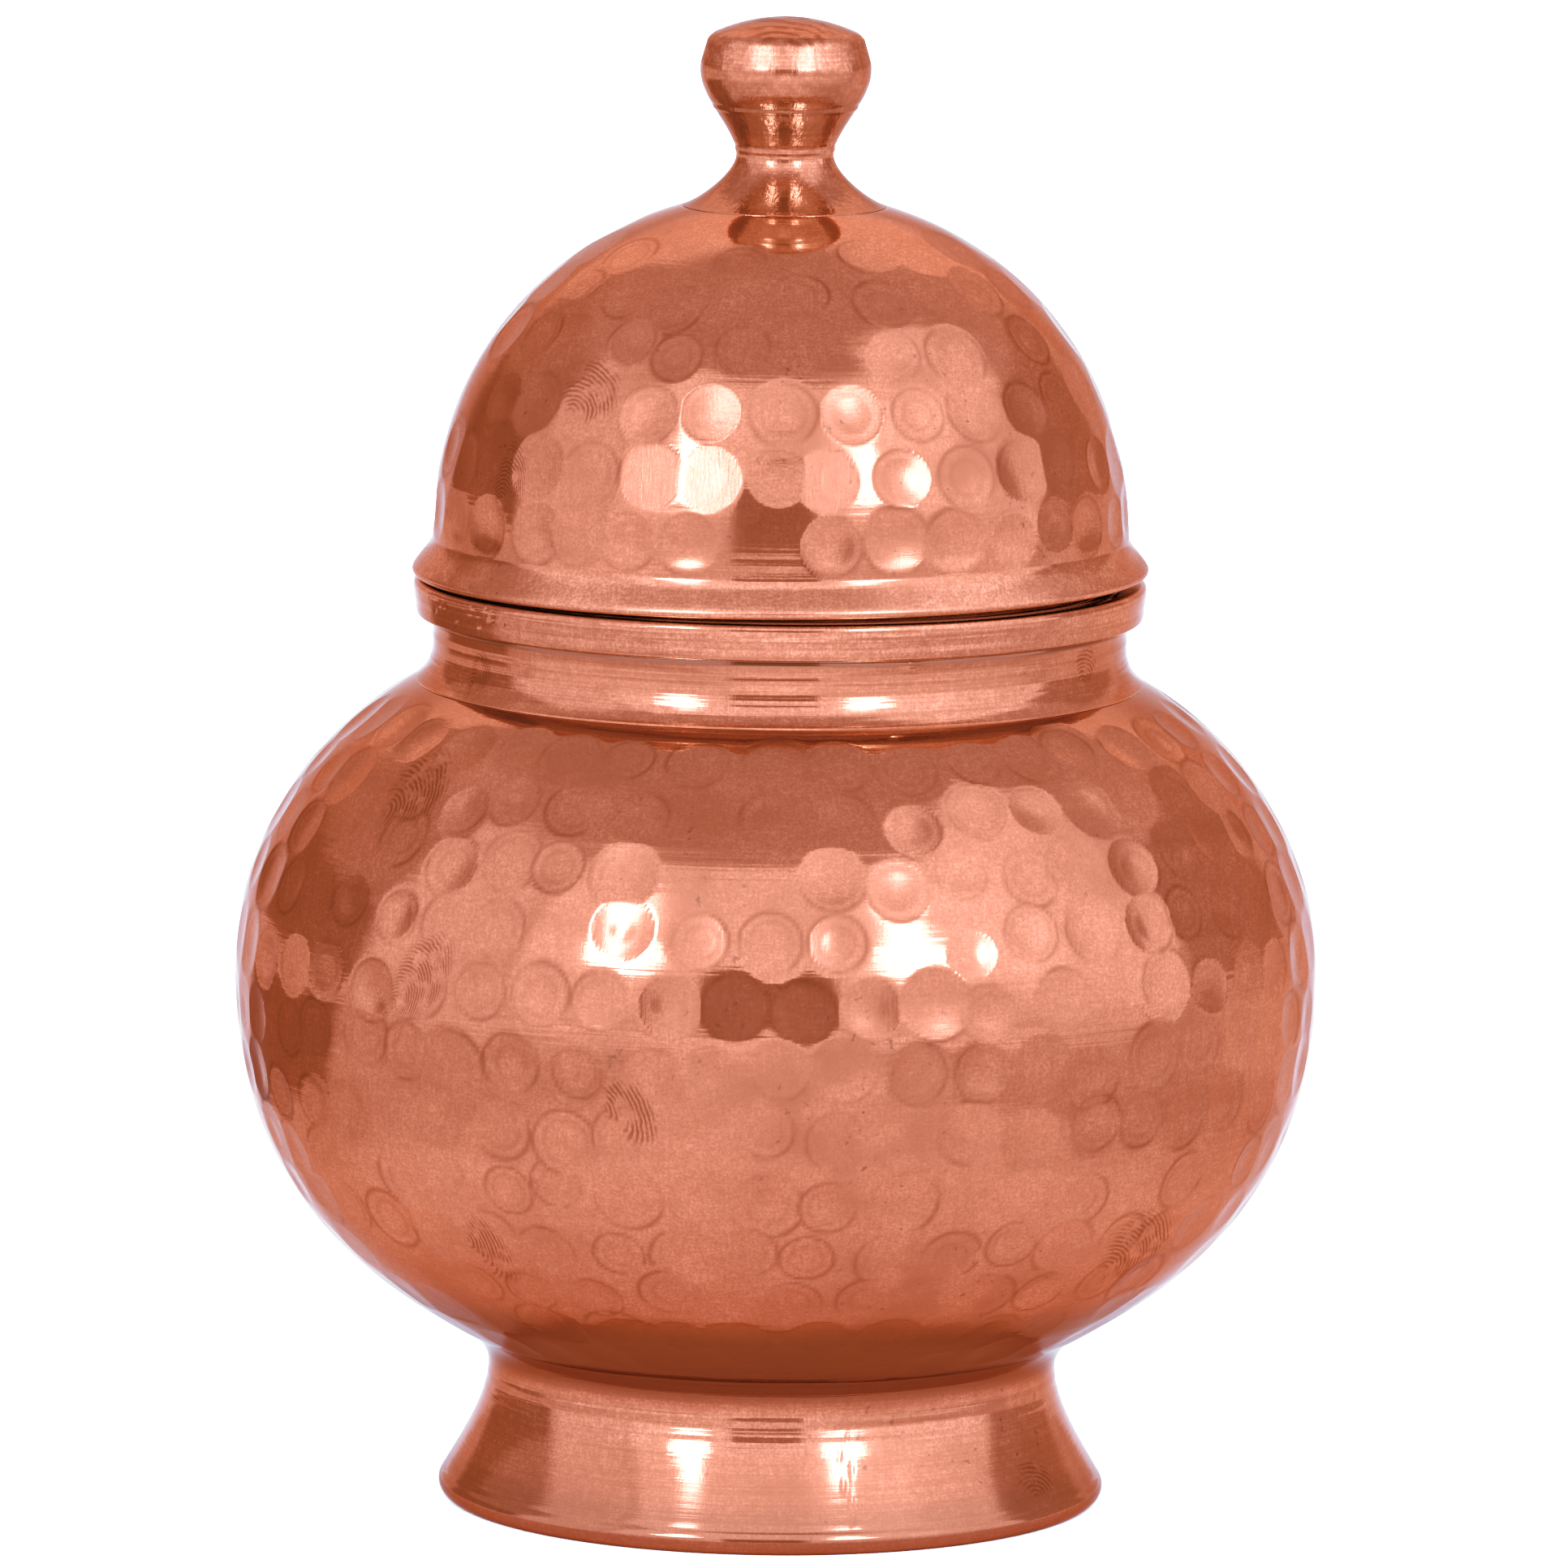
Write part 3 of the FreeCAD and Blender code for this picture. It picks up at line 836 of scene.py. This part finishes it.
# What stands in the room: (level, (left, right, low, high) in degrees, softness of its edges and
# of its foot). Later ones stand in front.
ROOM = (
    (1.0, (50, 105, 40, 66), 5, 5),
    (0.92, (75, 104, -10, 50), 5, 5),
    (0.81, (-100, -58, -10, 50), 8, 8),
    (0.82, (-58, 80, -20, 20), 3, 3),
    (0.98, (-58, 80, 8, 57), 3, 10),
    (1.13, (18, 64, 12, 50), 7, 7),
    (2.3, (-39, -31, 30, 46), 3, 3),
    (2.3, (26, 35, 30, 44), 3, 3),
    (0.47, (-146, -98, -20, 42), 5, 5),
    (0.35, (-144, -100, -20, 17), 2, 2),
    (0.45, (98, 140, -20, 32), 3, 3),
    (0.385, (-16, 13, -20, 21), 0.7, 0.7),
)
BARE_ROOM = (grey(0.62), grey(0.52))  # low down and overhead, where nothing stands
BACK_WALL = ((0.59, 0.52, 0.48, 1), (0.85, 0.79, 0.76, 1))  # behind the jug, its foot and above

# The lamps: compass angle of each side, then (elevation, width, height) in degrees, their level
# in the room's light, how far away they are and how high they aim, in metres
LAMP_SIDES = {"left": -33.5, "right": 30}
SOFTBOX = (22.5, 16, 14)
STRIP = (31, 7, 16)
LAMP_LEVEL = 3.5
LAMP_DISTANCE = 1.7
LAMP_AIM = 0.1

FLOOR_SIZE = 12


def compass(n, x, y):
    """Angle round the axis in degrees: 0 towards the camera, and growing towards +X."""
    return n.product(n.math("ARCTAN2", x, n.product(y, -1)), 180 / math.pi)


def make_world():
    """A pale room by compass angle and elevation, seen from the jug. What the camera sees of it
    is white."""
    world = bpy.data.worlds.new("studio")
    world.use_nodes = True
    bpy.context.scene.world = world
    n = Nodes(world.node_tree)
    direction = n.add("ShaderNodeTexCoord").outputs["Generated"]
    x, y, z = n.add("ShaderNodeSeparateXYZ", {}, Vector=direction).outputs
    azimuth = compass(n, x, y)
    elevation = n.product(n.math("ARCSINE", z), 180 / math.pi)

    colour = n.blend(n.spread(elevation, 10, 75), *BARE_ROOM)
    for level, (left, right, low, high), soft, soft_foot in ROOM:
        inside = n.product(
            n.spread(azimuth, left - soft, left + soft),
            n.spread(azimuth, right - soft, right + soft, 1, 0),
            n.spread(elevation, low - soft_foot, low + soft_foot),
            n.spread(elevation, high - soft, high + soft, 1, 0),
        )
        colour = n.blend(inside, colour, grey(level))
    behind = n.spread(n.math("ABSOLUTE", azimuth), 146, 150)
    below = n.spread(elevation, 18, 30, 1, 0)
    above = n.product(n.spread(elevation, 20, 30), n.spread(elevation, 50, 62, 1, 0))
    for part, wall in zip((below, above), BACK_WALL):
        colour = n.blend(n.product(behind, part), colour, wall)
    seen = n.add("ShaderNodeLightPath").outputs["Is Camera Ray"]
    colour = n.blend(seen, colour, grey(1))
    n.end(n.add("ShaderNodeBackground", {}, Color=colour, Strength=ROOM_LIGHT), "ShaderNodeOutputWorld")


def make_lamp(name, azimuth, elevation, width, height):
    """An oval lamp of the given angular size, aimed at the middle of the jug."""
    a, e = math.radians(azimuth), math.radians(elevation)
    away = Vector((math.sin(a) * math.cos(e), -math.cos(a) * math.cos(e), math.sin(e)))
    light = bpy.data.lights.new(name, "AREA")
    light.shape = "ELLIPSE"
    light.size = 2 * LAMP_DISTANCE * math.tan(math.radians(width / 2))
    light.size_y = 2 * LAMP_DISTANCE * math.tan(math.radians(height / 2))
    light.energy = LAMP_LEVEL * ROOM_LIGHT * math.pi * light.size * light.size_y
    lamp = bpy.data.objects.new(name, light)
    bpy.context.scene.collection.objects.link(lamp)
    lamp.location = Vector((0, 0, LAMP_AIM)) + away * LAMP_DISTANCE
    lamp.rotation_euler = away.to_track_quat("Z", "Y").to_euler()


def make_floor():
    """A broad table top, which the camera sees white. The copper mirrors it pale: duller beside
    and in front of the jug, dark in a patch behind it on the left, and glowing further out in
    front."""
    mesh = bpy.data.meshes.new("floor")
    corners = [(-1, -1), (1, -1), (1, 1), (-1, 1)]
    mesh.from_pydata([(FLOOR_SIZE * x, FLOOR_SIZE * y, 0) for x, y in corners], [], [(0, 1, 2, 3)])
    floor = bpy.data.objects.new("floor", mesh)
    bpy.context.scene.collection.objects.link(floor)
    material, n, place = new_material("floor")
    away = n.add("ShaderNodeVectorMath", {"operation": "LENGTH"}, i0=place).outputs["Value"]
    x, y, _ = n.add("ShaderNodeSeparateXYZ", {}, Vector=place).outputs
    azimuth = compass(n, x, y)
    seen = n.add("ShaderNodeLightPath").outputs["Is Camera Ray"]
    mirrored = n.math("SUBTRACT", 1.0, seen)

    beside_jug = n.spread(n.math("ABSOLUTE", x), 0.08, 0.2, 0, 0.85)
    dull = n.math("MAXIMUM", beside_jug, n.spread(away, 0.12, 0.3, 0, 0.3))
    dull = n.math("ADD", dull, n.spread(n.noise(place, 6, 2), 0.3, 0.7, -0.12, 0.12))
    dull = n.product(dull, n.spread(y, 0.0, 0.2, 1, 0.4))
    dark = n.product(
        n.spread(azimuth, -144, -138),
        n.spread(azimuth, -102, -96, 1, 0),
        n.spread(away, 0.2, 0.24),
        n.spread(away, 0.7, 1.0, 1, 0),
    )
    colour = n.blend(dull, grey(0.96), grey(0.66))
    colour = n.blend(dark, colour, grey(0.4))
    colour = n.blend(seen, colour, grey(1.6))

    # Seen by the camera, the far floor is lit up to the room's white, so that no edge shows
    far = n.product(n.spread(y, 0.25, 1.2, 0, 0.9), seen)
    front = n.product(n.spread(away, 0.25, 0.9, 0, 0.4), mirrored, n.spread(y, -0.2, 0.1, 1, 0))
    plain = n.add("ShaderNodeBsdfDiffuse", {}, Color=colour)
    glow = n.add("ShaderNodeEmission", {}, Color=grey(1), Strength=n.math("ADD", far, front))
    n.end(n.add("ShaderNodeAddShader", {}, i0=plain.outputs[0], i1=glow.outputs[0]))
    mesh.materials.append(material)


def set_tones():
    """Plain tones, with green and blue held back in the shadows, for polished copper's deep
    darks, and brought up to white in the lights. Each pair is a level and how it is shown."""
    view = bpy.context.scene.view_settings
    view.view_transform = "Standard"
    view.use_curve_mapping = True
    green = ((0.045, 0.03), (0.084, 0.05), (0.126, 0.09), (0.163, 0.137), (0.205, 0.202))
    green += ((0.252, 0.274), (0.289, 0.333), (0.314, 0.374), (0.4, 0.52), (0.55, 0.75), (0.8, 0.95))
    blue = ((0.02, 0.009), (0.053, 0.018), (0.079, 0.043), (0.102, 0.077), (0.128, 0.122))
    blue += ((0.158, 0.178), (0.181, 0.222), (0.196, 0.254), (0.25, 0.38), (0.35, 0.6), (0.6, 0.88))
    for channel, points in ((1, green), (2, blue)):
        for level, shown in points:
            view.curve_mapping.curves[channel].points.new(level, shown)
    view.curve_mapping.update()


# ---------------------------------------------------------------------------------------------
# Putting it together
# ---------------------------------------------------------------------------------------------


def dress(piece, body, material_slot, material, *nodes):
    """The piece stands for the CAD nodes, rides on their body and takes the material."""
    piece.data.materials.clear()
    piece.data.materials.append(material)
    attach(piece, body)
    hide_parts(*nodes)


make_camera()
make_world()
for side, azimuth in LAMP_SIDES.items():
    make_lamp(side + "_softbox", azimuth, *SOFTBOX)
    make_lamp(side + "_strip", azimuth, *STRIP)
make_floor()
set_tones()

belly_copper = copper(
    "hammered_copper_jug",
    roughness=0.05,
    lathe=45,
    scratches=5,
    dullness=0.8,
    struck=True,
    # Painted shade on the belly's underside above the foot and on the shoulder under the neck
    painted_shade=((16, 36, 0.9), (106, 125, 0.2)),
    smudges=(
        (-51, 104, 63, 7, 6, 20),
        (-40, 81, 74, 5, 8, 35),
        (-15, 65.6, 74.5, 7, 4, 60),
        (-35, 43.5, 66, 6, 4, 80),
        (49, 42.5, 66, 9, 7, 30),
    ),
)
lid_copper = copper(
    "hammered_copper_lid",
    roughness=0.06,
    lathe=40,
    scratches=6,
    dullness=0.9,
    struck=True,
    # Painted sheen on the lip
    painted_sheen=((126.5, 135, 0.95),),
    rubbed=((125, 134.5, 0.15),),
    smudges=((-38, 158, 42, 6, 5, 10), (-52, 145, 46, 4, 7, 0)),
)
spun = copper(
    "spun_copper",
    roughness=0.06,
    lathe=40,
    scratches=4,
    dullness=0.6,
    lines=11,
    mottle=0.3,
    # Painted sheen on the mouth band, the neck's flange and the foot's waist
    painted_sheen=((122.8, 130, 0.85), (113.5, 119, 0.3), (12, 22, 0.5)),
    # Painted shade where the foot meets the belly, at the foot's bottom and under the mouth band
    painted_shade=((18.5, 27, 0.8), (-4, 8, 0.4), (122.3, 123.7, 1)),
    smudges=((-58, 118, 48, 3, 4, 20), (61, 120, 48, 4, 3, 0), (57, 7, 44, 5, 3, 0)),
)
turned = copper(
    "turned_copper",
    roughness=0.12,
    lathe=24,
    scratches=9,
    dullness=0.6,
    lines=4,
    mottle=0.7,
    chatter=55,
    # Painted shade on the knob's foot and on its neck above the waist
    painted_shade=((187.5, 197.5, 0.4), (179, 185.5, 0.3)),
    # Painted sheen on the knob's band and waist
    painted_sheen=((199.2, 204.6, 1), (184.5, 191.5, 0.9)),
    rubbed=((199.4, 204.4, 0.2),),
    smudges=((10, 205, 4, 8, 3, 0),),
)
wire = copper("drawn_copper", roughness=0.25, lathe=2, scratches=4, dullness=0.9)
solder = plain_metal("solder", (0.5, 0.49, 0.47, 1), (0.28, 0.27, 0.26, 1), 0.42, 260, 6e-5)
steel = plain_metal("plated_steel", (0.62, 0.62, 0.6, 1), (0.48, 0.48, 0.47, 1), 0.28, 900, 4e-6)

dress(make_belly(), "jug", "hammered_copper", belly_copper, "belly_shell")
dress(make_neck(), "jug", "spun_copper", spun, "neck_collar")
dress(make_mouth_ring(), "jug", "spun_copper", spun, "mouth_ring")
dress(make_foot(), "jug", "spun_copper", spun, "foot_ring")
dress(make_dome(), "lid", "hammered_copper", lid_copper, "lid_dome")
dress(make_lid_collar(), "lid", "spun_copper", spun, "lid_collar")
dress(make_knob(), "lid", "turned_copper", turned, "knob")

# CAD nodes that stay as they are and only take a material
kept = {
    "foot_rim_wire": wire,
    "foot_solder": solder,
    "lid_solder": solder,
    "knob_washer": steel,
    "knob_screw": steel,
}
for node, material in kept.items():
    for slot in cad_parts[node].material_slots:
        slot.material = material
